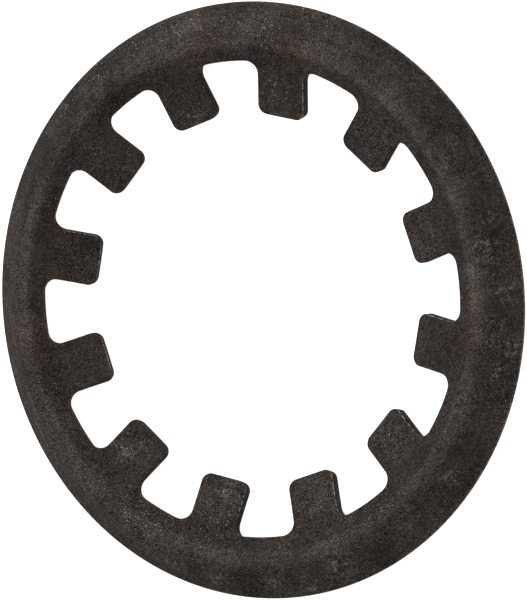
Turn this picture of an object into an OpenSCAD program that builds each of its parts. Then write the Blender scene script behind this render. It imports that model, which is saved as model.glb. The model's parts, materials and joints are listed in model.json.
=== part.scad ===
// Push-on retaining ring, stamped and formed from one piece of spring strip.
// An arched rim stiffens the ring, and prongs slope down from the rim towards the middle.
// The ring is pushed over the end of a plain round shaft, and the prong tips bite on it.
// It lies as it comes to rest: arch up, on the lower edges of its prong tips.

/* [Strip] */
// Thickness of the spring strip
stock = 0.32; // [0.25:0.01:0.5]

/* [Shaft grip] */
// Diameter of the circle that the free prong tips stand on
grip_diameter = 12.25; // [10:0.05:16]
// Height of the narrow upright land on each prong tip
grip_land = 0.08; // [0.03:0.01:0.14]

/* [Prongs] */
// Number of prongs around the ring
prong_count = 12; // [8:1:15]
// Length of a prong from the tip circle out to the root circle, seen from above
prong_length = 1.8; // [1.4:0.05:2.6]
// Width of a prong across its tip
prong_tip_width = 1.72; // [1.2:0.02:1.8]
// Width of a prong where its sides would meet the root circle
prong_root_width = 1.74; // [1.2:0.02:1.9]
// Downward slope of the prongs towards the shaft, in degrees
prong_angle = 18.5; // [10:0.5:24]
// Distance of the bend line of the prongs inside the root circle, seen from above
bend_inset = 0.15; // [0.05:0.01:0.3]
// Radius in the corners between a prong and the rim
root_fillet = 0.41; // [0.15:0.01:0.45]
// Radius on the two corners of a prong tip
tip_corner = 0.28; // [0.12:0.01:0.4]

/* [Arched rim] */
// Width from the root circle out to the crest of the arch, seen from above
arch_width = 0.7; // [0.6:0.05:1.4]
// Slope of the inner flank of the arch, in degrees
flank_angle = 25; // [20:0.5:33]
// Radius on the inside of the bend at the crest
crest_bend = 0.52; // [0.3:0.01:0.6]
// Width from the crest out to the outer edge, seen from above
flange_width = 1.28; // [1:0.02:2]
// Slope of the outer flange of the arch, in degrees
flange_angle = 36.5; // [30:0.5:45]
// Radius rolled on the upper corner of the outer edge by the blanking die
edge_roll = 0.1; // [0.04:0.01:0.15]

/* [Hidden] */
$fn = 180;
phosphate_black = [0.22, 0.20, 0.19];
half_stock = stock / 2;
// An arc is this much fuller than one that only touches its neighbour, so that the two cross cleanly
crossing = 0.001;

// Circles that the ring is laid out on, from the shaft outwards
grip_radius = grip_diameter / 2;
root_radius = grip_radius + prong_length;
crest_radius = root_radius + arch_width;
outer_radius = crest_radius + flange_width;

// A stretch of a slope that falls towards the shaft, and of one that falls towards the outer edge
function down_in(angle, distance) = distance * [-cos(angle), -sin(angle)];
function down_out(angle, distance) = distance * [cos(angle), -sin(angle)];
// Unit arrows square to those slopes, towards the upper face of the strip
function up_from_in(angle) = [-sin(angle), cos(angle)];
function up_from_out(angle) = [sin(angle), cos(angle)];

// Section at mid thickness, as radius and height, measured from the crest at height 0
prong_up = up_from_in(prong_angle);
flank_up = up_from_in(flank_angle);
flange_up = up_from_out(flange_angle);
crest_middle = crest_bend + half_stock;
crest_centre = [crest_radius, -crest_middle];
flank_top = crest_centre + crest_middle * flank_up;
flange_top = crest_centre + crest_middle * flange_up;
bend_radius = root_radius - bend_inset;
bend = flank_top + down_in(flank_angle, (flank_top[0] - bend_radius) / cos(flank_angle));
root = bend - down_in(flank_angle, bend_inset / cos(flank_angle));
land_foot_rise = half_stock - grip_land * cos(prong_angle);
tip_radius = grip_radius + land_foot_rise * sin(prong_angle);
tip = bend + down_in(prong_angle, (bend_radius - tip_radius) / cos(prong_angle));
edge_radius = outer_radius - (half_stock - edge_roll) * sin(flange_angle) - edge_roll * (1 - cos(flange_angle));
edge = flange_top + down_out(flange_angle, (edge_radius - flange_top[0]) / cos(flange_angle));

// Half the strip's thickness at the bend, along the line that halves the angle there
bend_up = half_stock / cos((flank_angle - prong_angle) / 2) * up_from_in((flank_angle + prong_angle) / 2);

// Lowest corners of the section, and the lift that sets the ring down at height 0
tip_underside = tip[1] - half_stock * cos(prong_angle);
edge_underside = edge[1] - half_stock * cos(flange_angle);
seat_lift = -min(tip_underside, edge_underside);

// Everything under the upper face of the strip, between the cut of the prong tip and the outer edge
module under_upper_face() {
  land_top = tip + half_stock * prong_up - down_in(prong_angle, grip_land * sin(prong_angle));
  polygon([
    tip - stock * prong_up,
    edge - stock * flange_up,
    edge + half_stock * flange_up,
    flange_top + half_stock * flange_up,
    flank_top + half_stock * flank_up,
    bend + bend_up,
    land_top,
    tip + land_foot_rise * prong_up
  ]);
  translate(crest_centre) circle(r = crest_middle + half_stock + crossing);
}

// Everything under the lower face of the strip, and past its two ends
module under_lower_face() {
  past_tip = tip - half_stock * prong_up + down_in(prong_angle, stock);
  past_edge = edge - half_stock * flange_up + down_out(flange_angle, stock);
  depth = crest_centre[1] - 2 * (crest_middle + stock);
  polygon([
    [past_tip[0], depth],
    [past_edge[0], depth],
    past_edge,
    flange_top - half_stock * flange_up,
    flank_top - half_stock * flank_up,
    bend - bend_up,
    past_tip
  ]);
  translate(crest_centre) circle(r = crest_middle - half_stock + crossing);
}

// What the die rolls off the upper corner of the outer edge
module rolled_corner() {
  outward = down_out(flange_angle, 1);
  centre = edge + (half_stock - edge_roll) * flange_up - edge_roll * outward;
  reach = 2 * edge_roll;
  difference() {
    polygon([
      centre,
      centre + reach * outward,
      centre + reach * (outward + flange_up),
      centre + reach * flange_up
    ]);
    translate(centre) circle(r = edge_roll + crossing);
  }
}

// Section of the strip from prong tip to outer edge
module strip_section() {
  translate([0, seat_lift])
    difference() {
      under_upper_face();
      under_lower_face();
      rolled_corner();
    }
}

// Gaps between the prongs, drawn on a plane that lies along the strip at the root circle.
// Its first axis runs outwards up the slope from the root circle, and its second runs around the ring.
gap_slope = (prong_angle + flank_angle) / 2;
half_pitch = 180 / prong_count;
function on_plane(out, around, height) = [
  (out - root_radius) * cos(gap_slope) + (height - root[1]) * sin(gap_slope),
  around
];
// A point on the side of the prong at the gap's left, on a circle of the ring at a height
function prong_side(half_width, radius, height) =
  let (along = sqrt(radius * radius - half_width * half_width))
    on_plane(
      along * cos(half_pitch) + half_width * sin(half_pitch),
      along * sin(half_pitch) - half_width * cos(half_pitch),
      height
    );
side_tip = prong_side(prong_tip_width / 2, tip_radius, tip[1]);
side_root = prong_side(prong_root_width / 2, root_radius, root[1]);
side_run = (side_root - side_tip) / norm(side_root - side_tip);
into_gap = [side_run[1], -side_run[0]];

// The root and tip circles look flatter on the sloping plane
root_circle = root_radius / cos(gap_slope);
root_centre = [-root_circle, 0];
tip_circle = tip_radius / cos(gap_slope);
tip_centre = on_plane(tip_radius, 0, tip[1]) - [tip_circle, 0];

// Centre of a round at an offset from the prong's side, at a reach from the centre of a circle
function beside(offset, centre, reach) =
  let (foot = side_tip + offset * into_gap)
    let (to_centre = centre - foot)
      let (apart = to_centre * into_gap)
        foot + (to_centre * side_run + sqrt(reach * reach - apart * apart)) * side_run;
fillet_centre = beside(root_fillet, root_centre, root_circle - root_fillet);
fillet_foot = fillet_centre - root_fillet * into_gap;
corner_centre = beside(-tip_corner, tip_centre, tip_circle + tip_corner);
corner_foot = corner_centre + tip_corner * into_gap;
corner_to_tip = (tip_centre - corner_centre) / norm(tip_centre - corner_centre);
function mirrored(point) = [point[0], -point[1]];

// Outline of one gap: straight sides, filleted corners on the root circle, rounded prong tips
module gap_outline() {
  past_tip = corner_centre + (tip_corner + 2 * stock) * corner_to_tip;
  left_side = [past_tip, corner_centre, corner_foot, fillet_foot, fillet_centre];
  right_side = [for (point = left_side) mirrored(point)];
  left_side_back = [for (i = [len(left_side) - 1:-1:0]) left_side[i]];
  fan = 2 * (fillet_centre - root_centre);
  difference() {
    union() {
      polygon(concat(right_side, left_side_back));
      intersection() {
        translate(root_centre) circle(r = root_circle);
        polygon([root_centre, root_centre + mirrored(fan), root_centre + fan]);
      }
      for (centre = [fillet_centre, mirrored(fillet_centre)])
        translate(centre) circle(r = root_fillet + crossing);
    }
    for (centre = [corner_centre, mirrored(corner_centre)])
      translate(centre) circle(r = tip_corner + crossing);
  }
}

// One gap, punched square through the strip
module gap() {
  punch_depth = 6 * stock;
  translate([root_radius, 0, root[1] + seat_lift])
    rotate([0, -gap_slope, 0])
      linear_extrude(height = punch_depth, center = true) gap_outline();
}

// The ring, with a prong centred on the X axis
module retaining_ring() {
  color(phosphate_black)
    difference() {
      rotate_extrude() strip_section();
      for (i = [0:prong_count - 1])
        rotate([0, 0, (2 * i + 1) * half_pitch]) gap();
    }
}

retaining_ring();
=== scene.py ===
# %% [markdown]
# A push-on retaining ring in black spring steel
#
# The object is one stamping. A press blanks it from thin strip, forms an arch into its rim, and
# bends twelve prongs down towards the middle. Pushed over the end of a plain shaft, it grips with
# the prong tips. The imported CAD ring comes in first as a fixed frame: it gives the sizes, the
# place and the body to ride on.

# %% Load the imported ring
import json
import bpy
import numpy as np
from mathutils import Matrix, Vector


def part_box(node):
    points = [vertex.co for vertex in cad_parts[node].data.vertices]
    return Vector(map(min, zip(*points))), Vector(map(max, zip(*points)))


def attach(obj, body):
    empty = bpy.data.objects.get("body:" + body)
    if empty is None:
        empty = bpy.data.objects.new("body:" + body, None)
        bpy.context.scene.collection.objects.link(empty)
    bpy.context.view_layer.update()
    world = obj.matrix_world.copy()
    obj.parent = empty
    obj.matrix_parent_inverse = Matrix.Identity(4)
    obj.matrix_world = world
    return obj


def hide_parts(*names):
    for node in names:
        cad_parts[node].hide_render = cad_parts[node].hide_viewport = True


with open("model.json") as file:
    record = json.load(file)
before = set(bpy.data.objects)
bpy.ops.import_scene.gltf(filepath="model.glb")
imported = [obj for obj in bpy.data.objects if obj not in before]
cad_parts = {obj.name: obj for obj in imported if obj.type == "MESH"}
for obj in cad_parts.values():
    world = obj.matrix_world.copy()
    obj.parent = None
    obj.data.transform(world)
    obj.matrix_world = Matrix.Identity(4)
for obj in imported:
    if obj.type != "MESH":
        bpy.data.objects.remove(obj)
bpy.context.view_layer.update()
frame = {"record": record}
MM = 0.001
lowest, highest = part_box("retaining_ring")
print("CAD ring in mm:", [round(side / MM, 3) for side in highest - lowest])

# %% [markdown]
# Sizes of the strip
#
# A stamping has few sizes: the strip's thickness, some circles and some slopes. The outer circle
# and the crest height come from the frame, and the tip circle from the shaft mount in the record,
# so the mesh made below can't drift from the CAD. The rest repeats the driving sizes of the part,
# in millimetres and radians.

# %% Circles and slopes
shaft_grip = next(mount for mount in frame["record"]["mounts"] if mount["name"] == "shaft_grip")
stock = 0.32
half_stock = stock / 2
outer_radius = highest.x / MM
crest_height = highest.z / MM
grip_radius = shaft_grip["dims"]["r_mm"]
prong_count = 12
half_pitch = np.pi / prong_count
prong_length = 1.8
arch_width = 0.7
bend_inset = 0.15
crest_bend = 0.52

root_radius = grip_radius + prong_length
crest_radius = root_radius + arch_width
bend_radius = root_radius - bend_inset
crest_middle = crest_bend + half_stock
prong_slope, flank_slope, flange_slope = np.radians([18.5, 25.0, 36.5])
print(f"tip, root and crest radius: {grip_radius}, {root_radius}, {crest_radius} mm")

# %% [markdown]
# The section of the strip
#
# Cut through the rim, the strip is a thin band that climbs along the prong, climbs steeper on the
# inner flank, turns over at the crest and falls to the outer edge. One function for its slope at
# a radius says all of that. Adding the slope up from the shaft outwards gives the height, as
# walking up a hill does, and a point above or below the middle of the strip stands square to the
# slope. The press trimmed this rim less than a tenth of a millimetre off centre, so the rim
# drifts sideways by that much.

# %% Slope and height of the strip
bend_reach = 0.3
grip_land = 0.08
trim_offset = 0.083
trim_way = np.radians(-112.4)
walk_steps = 4001
tip_radius = grip_radius + (half_stock - grip_land * np.cos(prong_slope)) * np.sin(prong_slope)


def ease(share):
    """Goes from 0 to 1 without a kink at either end."""
    share = np.clip(share, 0, 1)
    return share * share * (3 - 2 * share)


def slope_at(radius):
    """Slope of the strip at a radius, above 0 where it climbs outwards."""
    leaning = (crest_radius - radius) / crest_middle
    leaning = np.clip(leaning, -np.sin(flange_slope), np.sin(flank_slope))
    in_prong = ease((bend_radius + bend_reach - radius) / (2 * bend_reach))
    return np.arcsin(leaning) + (prong_slope - flank_slope) * in_prong


walk = np.linspace(tip_radius - stock, outer_radius + stock, walk_steps)
climb = np.cumsum(np.tan(slope_at(walk))) * (walk[1] - walk[0])
climb += crest_height - half_stock - climb.max()


def height_at(radius):
    """Height of the middle of the strip at a radius."""
    return np.interp(radius, walk, climb)


def place(radius, angle, above):
    """Points of the ring, from a radius and an angle at mid strip and a distance above it."""
    slope = slope_at(radius)
    out = radius - above * np.sin(slope)
    drift = trim_offset * ease((radius - root_radius) / (outer_radius - root_radius))
    x = out * np.cos(angle) + drift * np.cos(trim_way)
    y = out * np.sin(angle) + drift * np.sin(trim_way)
    return np.stack([x, y, height_at(radius) + above * np.cos(slope)], -1)


print(f"mid strip stands {height_at(tip_radius):.3f} mm up at the tips")
print(f"mid strip stands {height_at(root_radius):.3f} mm up at the roots")

# %% [markdown]
# The outline that the die cuts
#
# Twelve gaps part the prongs. Each gap has a root arc, two fillets that keep the spring from
# cracking, straight sides, and rounded prong tips. The die cuts square to the strip, so the
# outline is drawn on a plane that leans as the strip does, then carried onto the strip. Half a
# gap is enough, because the rest mirrors and repeats. The centre of each round stands at its
# radius from both lines that it joins, which is how a draughtsman finds it.

# %% Lines and rounds of half a gap
prong_tip_width = 1.72
prong_root_width = 1.74
root_fillet = 0.41
tip_corner = 0.28
gap_slope = (prong_slope + flank_slope) / 2


def on_plane(radius, half_width):
    """A point of the leaning plane, from a circle of the ring and half a prong's width."""
    along = np.sqrt(radius**2 - half_width**2)
    out = along * np.cos(half_pitch) + half_width * np.sin(half_pitch)
    around = along * np.sin(half_pitch) - half_width * np.cos(half_pitch)
    rise = height_at(radius) - height_at(root_radius)
    return np.array([(out - root_radius) * np.cos(gap_slope) + rise * np.sin(gap_slope), around])


def toward(start, end):
    """Arrow of length 1 from one point to another."""
    return (end - start) / np.linalg.norm(end - start)


def beside(offset, centre, reach):
    """Centre of a round at an offset from the prong's side, at a reach from the centre of a circle."""
    foot = side_tip + offset * into_gap
    apart = (centre - foot) @ into_gap
    return foot + ((centre - foot) @ side_run + np.sqrt(reach**2 - apart**2)) * side_run


side_tip = on_plane(tip_radius, prong_tip_width / 2)
side_run = toward(side_tip, on_plane(root_radius, prong_root_width / 2))
into_gap = np.array([side_run[1], -side_run[0]])
root_circle = root_radius / np.cos(gap_slope)
tip_circle = tip_radius / np.cos(gap_slope)
root_centre = np.array([-root_circle, 0.0])
tip_rise = height_at(tip_radius) - height_at(root_radius)
tip_top = (tip_radius - root_radius) * np.cos(gap_slope) + tip_rise * np.sin(gap_slope)
tip_centre = np.array([tip_top - tip_circle, 0.0])
fillet_centre = beside(root_fillet, root_centre, root_circle - root_fillet)
corner_centre = beside(-tip_corner, tip_centre, tip_circle + tip_corner)
print(f"on the plane: fillet centre {fillet_centre.round(3)}, corner centre {corner_centre.round(3)}")

# %% Points along half a gap
root_points, fillet_points, side_points = 5, 10, 10
corner_points, tip_points = 9, 9


def arc(centre, radius, start, end, count):
    """Points of an arc from one direction to another, without the last one."""
    first = np.arctan2(start[1], start[0])
    turn = (np.arctan2(end[1], end[0]) - first + np.pi) % (2 * np.pi) - np.pi
    angles = first + turn * np.arange(count) / count
    return centre + radius * np.stack([np.cos(angles), np.sin(angles)], -1)


straight_out = np.array([1.0, 0.0])
to_fillet = toward(root_centre, fillet_centre)
to_tip = toward(corner_centre, tip_centre)
fillet_foot = fillet_centre - root_fillet * into_gap
corner_foot = corner_centre + tip_corner * into_gap
half_gap = np.concatenate([
    arc(root_centre, root_circle, straight_out, to_fillet, root_points),
    arc(fillet_centre, root_fillet, to_fillet, -into_gap, fillet_points),
    np.linspace(fillet_foot, corner_foot, side_points, endpoint=False),
    arc(corner_centre, tip_corner, into_gap, to_tip, corner_points),
    [corner_centre + tip_corner * to_tip],
])
print(f"half a gap has {len(half_gap)} points before the tip arc")

# %% [markdown]
# Carrying the outline onto the strip
#
# The leaning plane and the strip part a little where the strip bends, so each point slides square
# to the plane until it meets the strip. A few rounds of a simple correction find the place. A tip
# is cut nearly straight across, so it reaches the tip circle in its middle, and its corners stand
# back by a few hundredths of a millimetre. Mirroring and turning the half gap then gives the
# whole outline as radius and angle.

# %% The whole inner outline
corrections = 12
out = root_radius + half_gap[:, 0] * np.cos(gap_slope)
for correction in range(corrections):
    rise = height_at(np.hypot(out, half_gap[:, 1])) - height_at(root_radius)
    out = root_radius + (half_gap[:, 0] - rise * np.sin(gap_slope)) / np.cos(gap_slope)
gap_radius = np.hypot(out, half_gap[:, 1])
gap_angle = np.arctan2(half_gap[:, 1], out)
tip_angles = np.linspace(gap_angle[-1], half_pitch, tip_points + 1)[1:]
half_radius = np.append(gap_radius, np.full(tip_points, tip_radius))
half_angle = np.append(gap_angle, tip_angles)
half_count = len(half_radius)
along_prong = (root_radius - half_radius) / (root_radius - tip_radius)
straight_from = 0.4
near_tip = ease(2 * (along_prong - straight_from))
half_radius *= 1 + near_tip * (1 / np.cos(half_pitch - half_angle) - 1)


def all_round(half_values, sign):
    """Half a gap's values, mirrored with a sign and repeated around the ring."""
    one_gap = np.append(sign * half_values[:0:-1], half_values[:-1])
    return np.tile(one_gap, prong_count)


gap_middles = np.repeat((2 * np.arange(prong_count) + 1) * half_pitch, 2 * half_count - 2)
edge_radius = all_round(half_radius, 1)
edge_angle = all_round(half_angle, -1) + gap_middles
print(f"inner outline: {len(edge_radius)} points, from {edge_radius.min():.3f} mm out")

# %% [markdown]
# Edges as a die leaves them
#
# A die doesn't cut a clean corner. It draws the upper edge down into a small roll before the
# strip shears, and the lower edge breaks off nearly sharp. A bevel modifier would round every
# edge alike, so here rows of points follow each edge over its roll, down its wall and around its
# break. To do that, an edge steps back into the metal, square to the outline and within the
# strip.

# %% Rows around a cut edge
prong_roll = 0.03
rim_roll = 0.1
break_radius = 0.03
roll_steps = 5


def cut_edge(roll):
    """Steps back from a cut edge and heights above mid strip, from the upper face to the lower face."""
    turn = np.linspace(0, np.pi / 2, roll_steps)
    over_roll = roll * (1 - np.sin(turn))
    under_break = break_radius * (1 - np.cos(turn))
    back = np.concatenate([[2 * roll], over_roll, under_break, [3 * break_radius]])
    roll_height = half_stock - roll * (1 - np.cos(turn))
    break_height = break_radius * (1 - np.sin(turn)) - half_stock
    above = np.concatenate([[half_stock], roll_height, break_height, [-half_stock]])
    return back, above


prong_back, prong_above = cut_edge(prong_roll)
rim_back, rim_above = cut_edge(rim_roll)
print(f"a cut edge has {len(prong_back)} rows")

# %% Step the outline back into the metal
climbing = (np.roll(edge_radius, -1) - np.roll(edge_radius, 1)) / np.cos(slope_at(edge_radius))
next_angle = np.append(edge_angle[1:], edge_angle[0] + 2 * np.pi)
last_angle = np.append(edge_angle[-1] - 2 * np.pi, edge_angle[:-1])
turning = edge_radius * (next_angle - last_angle)
length = np.hypot(climbing, turning)


def step_back(distance):
    """The inner outline moved back into the metal by a distance, as radius and angle."""
    radius = edge_radius + distance * turning / length * np.cos(slope_at(edge_radius))
    return radius, edge_angle - distance * climbing / length / edge_radius


moved_radius = step_back(prong_roll)[0]
tip_shift = moved_radius.min() - edge_radius.min()
print(f"a step of {prong_roll} mm moves the tips out by {tip_shift:.4f} mm")

# %% [markdown]
# Patches that meet
#
# One grid can't follow both the long circles of the rim and the short prongs, so the mesh is made
# of patches: a prong is crossed by arcs from side to side, the rim is made of circles, and the
# cut edges are bands along the outlines. Patches that touch share their points exactly, so
# welding doubled points afterwards leaves one closed skin. Each point also remembers how far it
# lies around a cut edge, from 0 on the upper face to 1 underneath.

# %% Collect patches
patch_points, patch_faces, patch_edges = [], [], []


def add_patch(radius, angle, above, edge, closed):
    """Adds a grid of points: radius, angle, height above mid strip, place around the edge."""
    radius, angle, above, edge = np.broadcast_arrays(radius, angle, above, edge)
    rows, columns = radius.shape
    first = sum(len(points) for points in patch_points)
    patch_points.append(place(radius, angle, above).reshape(-1, 3))
    patch_edges.append(edge.ravel())
    number = first + np.arange(rows * columns).reshape(rows, columns)
    if closed:
        number = np.append(number, number[:, :1], axis=1)
    corners = [number[:-1, :-1], number[1:, :-1], number[1:, 1:], number[:-1, 1:]]
    patch_faces.append(np.stack(corners, -1).reshape(-1, 4))


def column_of(values):
    """A list as the rows of a patch."""
    return np.asarray(values)[:, None]


edge_shares = np.linspace(0, 1, len(prong_back))
prong_rows = [step_back(back) for back in prong_back]
row_radii = np.array([radius for radius, angle in prong_rows])
row_angles = np.array([angle for radius, angle in prong_rows])
add_patch(row_radii, row_angles, column_of(prong_above), column_of(edge_shares), True)
print(f"cut edge of the prongs: {len(patch_points[0])} points")

# %% [markdown]
# Faces of the prongs and the rim
#
# A prong's face runs from its root to its tip in arcs around the shaft, each as wide as the prong
# is there. The last arc is the tip outline itself. The rim starts where the prongs end, takes in
# the roots of the gaps, and runs out in circles that lie closest at the crest, where the strip
# turns. Both faces of the strip are made the same way.

# %% Where the prongs and the rim meet
prong_middles = 2 * half_pitch * np.arange(prong_count)
across = np.linspace(-1, 1, 2 * tip_points + 1)
tip_start = half_count - 1 - tip_points


def half_prong(distance):
    """Half a prong's outline, stepped back: its radius, and its angle from the prong's middle."""
    radius, angle = step_back(distance)
    half = slice(half_count - 1, 2 * half_count - 1)
    return radius[half], 2 * half_pitch - angle[half]


def root_row(radius, half_width):
    """The row where the rim starts: across each prong's root, then along each gap's root."""
    gap_turn = half_pitch - half_width[root_points - 1::-1]
    gap_angles = half_pitch + np.append(-gap_turn, gap_turn[-2::-1])
    gap_radii = np.append(radius[root_points - 1::-1], radius[1:root_points])
    one_radii = np.append(np.full(len(across), radius[root_points]), gap_radii)
    one_angles = np.append(half_width[root_points] * across, gap_angles)
    return np.tile(one_radii, prong_count), (column_of(prong_middles) + one_angles).ravel()


rim_angle = root_row(*half_prong(0))[1]
print(f"the rim has {len(rim_angle)} columns")

# %% Build both faces
rim_radius = outer_radius - (half_stock - rim_roll) * np.sin(flange_slope)
rim_radius -= rim_roll * (1 - np.cos(flange_slope))
flank_top = crest_radius - crest_middle * np.sin(flank_slope)
flange_top = crest_radius + crest_middle * np.sin(flange_slope)
past_root = 0.2
flank_circles, crest_circles, flange_circles = 3, 15, 8
upper, lower = 0, -1
for side in (upper, lower):
    radius, half_width = half_prong(prong_back[side])
    above, edge = prong_above[side], edge_shares[side]
    arc_radius = np.repeat(column_of(radius[root_points:tip_start]), len(across), axis=1)
    arc_angle = column_of(half_width[root_points:tip_start]) * across
    tip_outline = np.append(radius[tip_start:], radius[-2:tip_start - 1:-1])
    tip_turn = np.append(-half_width[tip_start:], half_width[-2:tip_start - 1:-1])
    prong_radius = np.vstack([arc_radius, tip_outline])
    prong_angle = np.vstack([arc_angle, tip_turn])
    for middle in prong_middles:
        add_patch(prong_radius, middle + prong_angle, above, edge, False)

    first_radius, first_angle = root_row(radius, half_width)
    last_circle = rim_radius - rim_back[side] * np.cos(flange_slope)
    circles = np.concatenate([
        np.linspace(root_radius + past_root, flank_top, flank_circles, endpoint=False),
        np.linspace(flank_top, flange_top, crest_circles, endpoint=False),
        np.linspace(flange_top, last_circle, flange_circles),
    ])
    circle_radius = np.repeat(column_of(circles), len(rim_angle), axis=1)
    circle_angle = np.repeat(rim_angle[None], len(circles), axis=0)
    face_radius = np.vstack([first_radius, circle_radius])
    face_angle = np.vstack([first_angle, circle_angle])
    add_patch(face_radius, face_angle, above, edge, True)
print(f"both faces: {sum(len(faces) for faces in patch_faces)} quads so far")

# %% [markdown]
# One closed skin
#
# The outer cut closes the last opening. Welding then joins the patches, and turning all faces
# outwards makes the skin whole. Smooth shading across so fine a mesh gives the rolled edges their
# soft glint.

# %% Weld the patches
import bmesh

weld_distance = 0.0001 * MM
outer_radii = rim_radius - rim_back * np.cos(flange_slope)
add_patch(column_of(outer_radii), rim_angle, column_of(rim_above), column_of(edge_shares), True)
mesh = bpy.data.meshes.new("ring_steel")
points = np.concatenate(patch_points) * MM
mesh.from_pydata(points.tolist(), [], np.concatenate(patch_faces).tolist())
around_edge = mesh.attributes.new("around_edge", "FLOAT", "POINT")
around_edge.data.foreach_set("value", np.concatenate(patch_edges))
skin = bmesh.new()
skin.from_mesh(mesh)
loose_points = len(skin.verts)
bmesh.ops.remove_doubles(skin, verts=skin.verts, dist=weld_distance)
bmesh.ops.recalc_face_normals(skin, faces=skin.faces)
open_edges = sum(not edge.is_manifold for edge in skin.edges)
print(f"welded {loose_points - len(skin.verts)} of {loose_points} points, {open_edges} open edges")
skin.to_mesh(mesh)
skin.free()
mesh.shade_smooth()
ring = bpy.data.objects.new("ring_steel", mesh)
bpy.context.scene.collection.objects.link(ring)
print(f"ring mesh: {len(mesh.vertices)} points, {2 * len(mesh.polygons)} triangles")

# %% [markdown]
# Writing a finish as arithmetic
#
# A finish in Blender is a tree of nodes, and most of them only add, multiply or compare. This
# small class wraps a node's output so that Python's own operators add those nodes: 1 - mask reads
# better than a Math node with its sockets. All other nodes come from one method, which takes
# their settings first and then what goes into their sockets.

# %% A value on its way through a finish
class Flow:
    """An output of a node in a finish. Arithmetic on it adds Math nodes to the same tree."""

    def __init__(self, tree, socket):
        self.tree = tree
        self.socket = socket

    def node(self, kind, settings, sockets, output=0):
        """Adds a node, sets it up, fills its sockets, and gives back one of its outputs."""
        made = self.tree.nodes.new("ShaderNode" + kind)
        for name, value in settings.items():
            setattr(made, name, value)
        for name, value in sockets.items():
            if isinstance(value, Flow):
                self.tree.links.new(value.socket, made.inputs[name])
            else:
                made.inputs[name].default_value = value
        return Flow(self.tree, made.outputs[output])

    def maths(self, operation, *values):
        return self.node("Math", {"operation": operation}, dict(enumerate(values)))

    def __add__(self, other):
        return self.maths("ADD", self, other)

    def __radd__(self, other):
        return self.maths("ADD", other, self)

    def __sub__(self, other):
        return self.maths("SUBTRACT", self, other)

    def __rsub__(self, other):
        return self.maths("SUBTRACT", other, self)

    def __mul__(self, other):
        return self.maths("MULTIPLY", self, other)

    def __rmul__(self, other):
        return self.maths("MULTIPLY", other, self)

    def fade(self, start, end):
        """0 at start and 1 at end, eased between them."""
        settings = {"interpolation_type": "SMOOTHSTEP"}
        return self.node("MapRange", settings, {"Value": self, "From Min": start, "From Max": end})

    def times(self, factor):
        """A vector, longer by a factor."""
        return self.node("VectorMath", {"operation": "SCALE"}, {0: self, "Scale": factor})

    def noise(self, scale, detail=2.0, roughness=0.5):
        """Cloudy noise at this place, from about 0 to 1."""
        sockets = {"Vector": self, "Scale": scale, "Detail": detail, "Roughness": roughness}
        return self.node("TexNoise", {}, sockets)

    def tint(self, mask, colour):
        """This colour, changed to another where a mask is 1."""
        return self.node("Mix", {"data_type": "RGBA"}, {0: mask, 6: self, 7: colour}, 2)


print("Flow adds nodes for + - and *, and any other node by name")

# %% [markdown]
# Where a point lies on the ring
#
# Every layer of the finish needs to know where it is on the metal. Object coordinates stay with
# the ring when it moves. They are in metres, so a factor of a thousand turns them to millimetres,
# and the grain can be given as crystals per millimetre. The distance from the axis tells rim from
# prong, and the mesh says what is a cut edge.

# %% Start the black finish
finish = bpy.data.materials.new("phosphate_coat")
finish.use_nodes = True
tree = finish.node_tree
steel = tree.nodes["Principled BSDF"]
start = Flow(tree, None)
spot = start.node("TexCoord", {}, {}, "Object").times(1 / MM)
flat_spot = start.node("VectorMath", {"operation": "MULTIPLY"}, {0: spot, 1: (1.0, 1.0, 0.0)})
from_axis = start.node("VectorMath", {"operation": "LENGTH"}, {0: flat_spot}, "Value")
edge_share = start.node("Attribute", {"attribute_name": "around_edge"}, {}, "Fac")
print("finish started:", finish.name)

# %% [markdown]
# The grain of the coat
#
# Phosphate grows on steel as a crust of tiny crystals, which drinks oil and turns brown-black.
# Close up it looks like fine sandpaper: each crystal face is a little lighter or darker than the
# next, and a few catch the light as specks. Three sizes of noise give the crust, livelier in some
# places than in others. A Voronoi cell here and there, picked by its random colour, gives a
# bright speck or a dark pit.

# %% Grain, specks and pits
fine_grain = spot.noise(28.0, 1.0, 0.5).fade(0.47, 0.69)
grain = spot.noise(13.0, 2.0, 0.6).fade(0.4, 0.68)
coarse_grain = spot.noise(4.5, 2.0, 0.6).fade(0.36, 0.64)
liveliness = spot.noise(0.7, 2.0, 0.5).fade(0.3, 0.7)
cell_sockets = {"Vector": spot, "Scale": 13.0, "Randomness": 1.0}
cell_reach = start.node("TexVoronoi", {}, cell_sockets, "Distance")
cell_colour = start.node("TexVoronoi", {}, cell_sockets, "Color")
speck_pick = start.node("SeparateColor", {}, {"Color": cell_colour}, "Red")
pit_pick = start.node("SeparateColor", {}, {"Color": cell_colour}, "Green")
speck_faces = cell_reach.fade(0.36, 0.14) * speck_pick.fade(0.62, 1.0)
pits = cell_reach.fade(0.5, 0.25) * pit_pick.fade(0.9, 0.97)
print("crystals of about 0.2, 0.08 and 0.035 mm, specks and pits of about 0.03 mm")

# %% [markdown]
# Clouds and forming lines
#
# The bath takes better in some places than in others, so the black is cloudy over one to a few
# millimetres. The forming die also drew the rim into shape under pressure and left faint circles
# around it. A noise that is stretched around the ring and tight across it makes those circles.

# %% Clouds and circles
clouds = 0.6 * spot.noise(0.55, 2.0, 0.5) + 0.4 * spot.noise(1.9, 2.0, 0.5)
tight, stretch = 7.0, 0.25
apart = start.node("SeparateXYZ", {}, {"Vector": spot}, "X")
aside = start.node("SeparateXYZ", {}, {"Vector": spot}, "Y")
ways = {"X": from_axis * tight, "Y": apart * stretch, "Z": aside * stretch}
drawn = start.node("CombineXYZ", {}, ways)
circles_drawn = drawn.noise(1.0, 2.0, 0.5)
on_rim = from_axis.fade(8.1, 8.6)
print("clouds over 2 and 0.5 mm, circles about 0.15 mm apart")

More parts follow.
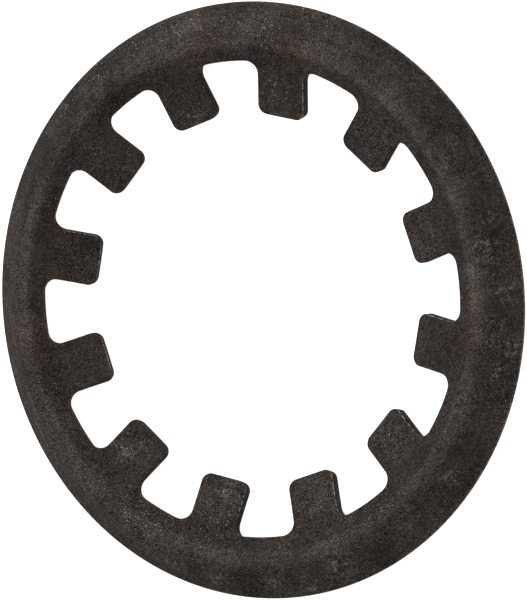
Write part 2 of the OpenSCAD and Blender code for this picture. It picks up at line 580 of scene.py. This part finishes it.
# %% [markdown]
# Rubbed places, and painted highlight and shade at the crest
#
# Rings travel loose in boxes and rub against each other. The crest of the arch stands highest, so
# it rubs most. It is painted lighter, partly for that rub and partly as a painted highlight along
# the arch, while the bend at its foot is painted darker, a painted shade in the crease.
# Elsewhere a rub leaves a dusty grey scuff, broken by the grain. Each mark is a soft ball around
# a place on the ring, torn up by noise. A painted picture would also do, but balls and noise need
# no image and stay sharp at any distance.

# %% Crest highlight, bend shade and scuffs
# Painted highlight, partly rub: the crest band is made lighter in the base colour.
crest_rub_and_highlight = from_axis.fade(8.22, 8.45) * from_axis.fade(9.12, 8.53)
# Painted shade: the bend at the foot of the crest is made darker in the base colour.
painted_bend_shade = from_axis.fade(7.5, 7.8) * from_axis.fade(8.45, 8.15)
full_share = 0.2


def marks(places, tear):
    """Soft patches at angles in degrees, radii and reaches on the upper face, torn by a mask."""
    total = 0.0
    for angle, radius, reach in places:
        centre = tuple(place(np.array(radius), np.radians(angle), half_stock))
        away = start.node("VectorMath", {"operation": "DISTANCE"}, {0: spot, 1: centre}, "Value")
        total = total + away.fade(reach, full_share * reach)
    return total * tear


flecks = (0.4 * spot.noise(2.6, 2.0, 0.6) + 0.6 * spot.noise(9.0, 2.0, 0.7)).fade(0.51, 0.6)
scuff_places = [
    (359, 9.27, 0.5), (353, 9.0, 0.7), (344, 9.3, 0.5), (336, 9.0, 0.7), (333, 9.5, 0.5),
    (328, 9.15, 0.5), (233, 9.2, 0.7), (243, 9.3, 0.5), (256, 9.3, 0.5), (264, 9.4, 0.5),
    (272, 9.2, 0.8), (304, 9.2, 0.6), (207, 6.95, 0.8), (241, 6.7, 0.8), (90, 6.4, 0.6),
]
scuffs = marks(scuff_places, flecks)
print(f"{len(scuff_places)} scuffs")

# %% [markdown]
# Specks, dust with painted highlight, painted shade and stains
#
# In some places the crystals grew larger, so more of them catch the light. In others handling
# left a film of dust, and the same lighter patches, many of them on the crest, also paint a
# highlight there. Other patches are painted shade, and here and there oil has dried to a reddish
# brown. The same soft balls place all of these, and wisps of noise keep their edges from showing.
# The grain itself is harsher where the bath ran strong, and calmer where it didn't.

# %% Clusters of specks
cluster_places = [
    (74, 8.85, 0.9), (64, 8.9, 0.9), (57, 9.6, 0.7), (83, 9.2, 1.0), (96, 9.4, 0.9),
    (107, 9.5, 0.9), (118, 9.3, 0.7), (222, 8.4, 1.4), (240, 7.6, 1.0), (300, 6.9, 0.8),
    (60, 7.0, 0.7),
]
specks = speck_faces * (0.5 * liveliness + marks(cluster_places, 1.0))
print(f"specks in {len(cluster_places)} clusters, and a few elsewhere")

# %% Dust and painted highlight, painted shade patches and stains
wisps = spot.noise(1.6, 2.0, 0.5).fade(0.34, 0.62)
# Dust, and painted highlight: many of these sit on the crest and only make the coat lighter there.
dust_and_highlight_places = [
    (210, 6.9, 1.2), (240, 6.8, 1.2), (270, 6.9, 1.0), (300, 6.9, 1.0), (32, 8.75, 1.0),
    (50, 8.85, 1.5), (70, 8.75, 1.0), (85, 8.9, 1.6), (169, 8.6, 1.0), (206, 9.3, 1.2),
    (216, 8.7, 1.3), (222, 8.6, 1.4), (8, 8.6, 1.1), (18, 8.6, 1.4), (345, 8.6, 1.2),
    (30, 6.6, 0.8), (211, 6.9, 0.9), (240, 6.75, 0.7), (0, 6.8, 1.0), (150, 6.65, 0.6),
    (15, 8.95, 0.8), (183, 8.9, 0.7), (256, 9.2, 0.8),
]
dust_and_highlight = marks(dust_and_highlight_places, wisps)
# Painted shade: these patches only make the coat darker in the base colour.
painted_shade_places = [
    (114, 9.3, 1.6), (127, 9.3, 1.8), (139, 9.3, 1.6), (108, 8.4, 1.4), (148, 7.0, 1.6),
    (282, 9.4, 1.2), (252, 9.4, 1.3), (330, 7.0, 1.2), (199, 8.1, 0.9), (66, 8.1, 1.0),
]
painted_shade_patches = marks(painted_shade_places, wisps)
stain_places = [
    (57, 8.6, 1.3), (156, 7.5, 1.0), (142, 7.7, 0.9), (333, 8.1, 0.7), (342, 8.25, 0.7),
    (170, 8.3, 1.3), (80, 8.4, 1.2),
]
stains = marks(stain_places, spot.noise(3.2, 2.0, 0.6).fade(0.42, 0.6))
# The dusty places include painted highlight, and the dull ones are painted shade.
print(f"{len(dust_and_highlight_places)} dusty places, {len(painted_shade_places)} dull ones and {len(stain_places)} stains")

# %% Harsh and calm grain
harsh_places = [
    (88, 9.5, 2.0), (108, 9.6, 1.8), (160, 9.6, 1.8), (183, 8.9, 2.2), (205, 9.0, 2.4),
    (222, 8.3, 2.2), (242, 7.3, 2.2), (275, 7.0, 2.0), (303, 6.9, 1.4), (0, 7.3, 1.8),
    (30, 7.3, 1.6), (255, 9.6, 1.6),
]
harsh = marks(harsh_places, 1.0)
calm_places = [(0, 9.4, 2.0), (20, 9.4, 1.8), (340, 9.4, 1.6), (148, 8.7, 1.6), (315, 9.4, 1.2)]
calm = marks(calm_places, 1.0)
print(f"grain is harsher in {len(harsh_places)} places and calmer in {len(calm_places)}")

# %% [markdown]
# Edges that have rubbed bare, with a painted glint
#
# The coat is thinnest on the corner that the die rolled, and a burr there is first to lose it. A
# broken bright line along some of the prong edges is painted there, partly bare steel and partly a
# painted glint on the rolled edge, and a fainter one runs around the rim. The cut wall below stays
# a little darker, since less light gets there. The mesh says how far around the edge a point lies,
# so the lines keep to the roll on any prong.

# %% Bare edges with a painted glint
on_roll = edge_share.fade(0.1, 0.18) * edge_share.fade(0.36, 0.26)
on_prong = from_axis.fade(7.9, 7.5)
broken = spot.noise(8.0, 2.0, 0.6).fade(0.4, 0.58)
# Bare steel and painted glint: bright lines on the rolled prong edges.
burr_and_glint_places = [
    (52.6, 6.6, 0.6), (53.2, 7.2, 0.6), (247, 6.9, 0.7), (277, 6.7, 0.6), (277, 7.3, 0.6),
    (307, 6.6, 0.6), (307, 7.2, 0.6), (337, 7.0, 0.9), (143, 6.9, 0.8), (150, 6.2, 0.8),
    (180, 6.2, 0.8),
]
bare_and_glint = on_roll * on_prong * marks(burr_and_glint_places, broken)
# Bare steel and painted glint along the rim's rolled edge.
rim_wear_and_glint = on_roll * (1.0 - on_prong) * broken
on_wall = edge_share.fade(0.3, 0.45) * edge_share.fade(0.95, 0.85)
print(f"bare lines at {len(burr_and_glint_places)} places on the prongs, and one around the rim")

# %% [markdown]
# Mixing the layers
#
# Shade and hue are kept apart. The shade is one number that says how light the coat is, so layers
# can simply multiply and add. The hue is a colour of about unit brightness, brown by nature,
# redder in the stains and greyer in the scuffs. Hue times shade is the base colour.

# %% Shade
coat_shade = 0.028
crest_gain, circle_gain, dust_and_highlight_gain, scuff_gain = 0.48, 0.9, 0.35, 1.8
wall_loss, bend_shade_loss, painted_shade_loss, pit_loss = 0.4, 0.1, 0.35, 0.6
speck_light, bare_and_glint_light, line_light = 0.3, 0.3, 0.06
grain_depth = 1.8 + 0.4 * liveliness + 0.7 * harsh - 0.7 * calm
grain_shade = 0.85 + grain_depth * (fine_grain - 0.25) + 0.65 * grain + 0.35 * coarse_grain
shade = coat_shade * grain_shade * (0.1 + 1.8 * clouds)
# The crest term is a painted highlight, partly rub; the wall term is painted shade.
shade = shade * (1.0 + crest_gain * crest_rub_and_highlight) * (1.0 - wall_loss * on_wall)
shade = shade * (1.0 + circle_gain * on_rim * (circles_drawn - 0.5))
# Dust with painted highlight lightens; painted shade darkens the patches and the bend.
shade = shade * (1.0 + dust_and_highlight_gain * dust_and_highlight) * (1.0 - painted_shade_loss * painted_shade_patches) * (1.0 - bend_shade_loss * painted_bend_shade)
shade = shade * (1.0 + scuff_gain * scuffs) * (1.0 - pit_loss * pits)
# The bright edge lines are partly bare steel and partly painted glint.
shade = shade + speck_light * specks + bare_and_glint_light * bare_and_glint + line_light * rim_wear_and_glint
print(f"coat of shade {coat_shade} with {len(tree.nodes)} nodes")

# %% Hue
brown = (1.21, 1.0, 0.87, 1)
red_brown = (1.45, 0.96, 0.8, 1)
pale_grey = (1.1, 1.0, 0.92, 1)
hue = start.node("Mix", {"data_type": "RGBA"}, {0: stains, 6: brown, 7: red_brown}, 2)
hue = hue.tint(0.5 * dust_and_highlight, pale_grey).tint(scuffs, pale_grey).tint(specks + bare_and_glint, pale_grey)
coat = hue.times(shade)
print("hue from brown to red-brown and dust grey")

# %% Join the finish to the shader
tree.links.new(coat.socket, steel.inputs["Base Color"])
roughness = 0.85 - 0.12 * crest_rub_and_highlight - 0.2 * bare_and_glint + 0.1 * (grain - 0.5)
tree.links.new(roughness.socket, steel.inputs["Roughness"])
steel.inputs["Specular IOR Level"].default_value = 0.04
bump_height = 0.5 * grain + 0.5 * fine_grain
bump = start.node("Bump", {}, {"Height": bump_height, "Strength": 0.7, "Distance": 0.01 * MM})
tree.links.new(bump.socket, steel.inputs["Normal"])
mesh.materials.append(finish)
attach(ring, "root")
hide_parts("retaining_ring")
print("ring rides on root and stands for retaining_ring")

# %% [markdown]
# A floor that glows
#
# Catalogue pictures of small hardware are taken on a light table: a white sheet lit from below,
# which hides the shadow and leaves the outline crisp. A large pale plane with a little glow of
# its own does the same here.

# %% Light table
table_half = 1.5
table_mesh = bpy.data.meshes.new("light_table")
table_corners = [(-table_half, -table_half, 0), (table_half, -table_half, 0),
                 (table_half, table_half, 0), (-table_half, table_half, 0)]
table_mesh.from_pydata(table_corners, [], [(0, 1, 2, 3)])
table = bpy.data.objects.new("light_table", table_mesh)
bpy.context.scene.collection.objects.link(table)
sheet = bpy.data.materials.new("white_sheet")
sheet.use_nodes = True
table_glow = 0.92
sheet_shader = sheet.node_tree.nodes["Principled BSDF"]
sheet_shader.inputs["Base Color"].default_value = (0.85, 0.85, 0.85, 1)
sheet_shader.inputs["Roughness"].default_value = 0.9
sheet_shader.inputs["Specular IOR Level"].default_value = 0.0
sheet_shader.inputs["Emission Color"].default_value = (1, 1, 1, 1)
sheet_shader.inputs["Emission Strength"].default_value = table_glow
table_mesh.materials.append(sheet)
print("light table", 2 * table_half, "m wide")

# %% [markdown]
# The camera's stand
#
# The picture looks down on the ring from the side, about thirty degrees off its axis, through a
# long lens. A camera in Blender looks along its own -Z with +Y up, so its turn is a matrix of
# three arrows: right, up, and back to the camera.

# %% Camera
lean = np.radians(29.465)
bearing = np.radians(-11.02)
roll = np.radians(-8.05)
picture_width, picture_height = 527, 600
ring_pixels = 299.1
radius_share = 0.0914
distance = outer_radius / radius_share
centre_pixel = (252.05, 298.41)
view_level = 0.365

turn = Matrix.Rotation(bearing, 3, "Z")
back_arrow = turn @ Vector((np.sin(lean), 0, np.cos(lean)))
level_arrow = turn @ Vector((np.cos(lean), 0, -np.sin(lean)))
side_arrow = turn @ Vector((0, 1, 0))
right_arrow = level_arrow * np.cos(roll) + side_arrow * np.sin(roll)
up_arrow = side_arrow * np.cos(roll) - level_arrow * np.sin(roll)
pixel = outer_radius / ring_pixels
aim = Vector((0, 0, view_level))
aim += right_arrow * pixel * ((picture_width - 1) / 2 - centre_pixel[0])
aim -= up_arrow * pixel * ((picture_height - 1) / 2 - centre_pixel[1])
camera_data = bpy.data.cameras.new("camera")
camera_data.sensor_width = 36
camera_data.lens = camera_data.sensor_width * distance / (pixel * picture_height)
camera_data.clip_start = 0.001
camera = bpy.data.objects.new("camera", camera_data)
bpy.context.scene.collection.objects.link(camera)
stand = Matrix((right_arrow, up_arrow, back_arrow)).transposed().to_4x4()
stand.translation = (aim + back_arrow * distance) * MM
camera.matrix_world = stand
bpy.context.scene.camera = camera
print(f"camera {distance:.1f} mm away with a {camera_data.lens:.0f} mm lens")

# %% [markdown]
# Soft light from the upper left
#
# One large soft panel at the upper left draws the arch: it lights the slopes that face it and
# leaves the far ones darker. The pale world fills the rest, as white walls do.

# %% Lights
def add_panel(name, around, height, size, power, far=0.4):
    """A square panel that looks at the ring from an angle around it and a height, in degrees."""
    data = bpy.data.lights.new(name, "AREA")
    data.size = size
    data.energy = power
    panel = bpy.data.objects.new(name, data)
    angle, rise = bearing + np.radians(around), np.radians(height)
    way = Vector((np.cos(rise) * np.cos(angle), np.cos(rise) * np.sin(angle), np.sin(rise)))
    panel.location = way * far
    panel.rotation_euler = way.to_track_quat("Z", "Y").to_euler()
    bpy.context.scene.collection.objects.link(panel)
    return panel


add_panel("soft_panel", around=131, height=29, size=0.3, power=1.15)
world_light = 0.6
world = bpy.data.worlds.new("white_room")
world.use_nodes = True
background = world.node_tree.nodes["Background"]
background.inputs["Color"].default_value = (1, 1, 1, 1)
background.inputs["Strength"].default_value = world_light
bpy.context.scene.world = world
bpy.context.scene.view_settings.view_transform = "Standard"
print("one soft panel and a pale world")
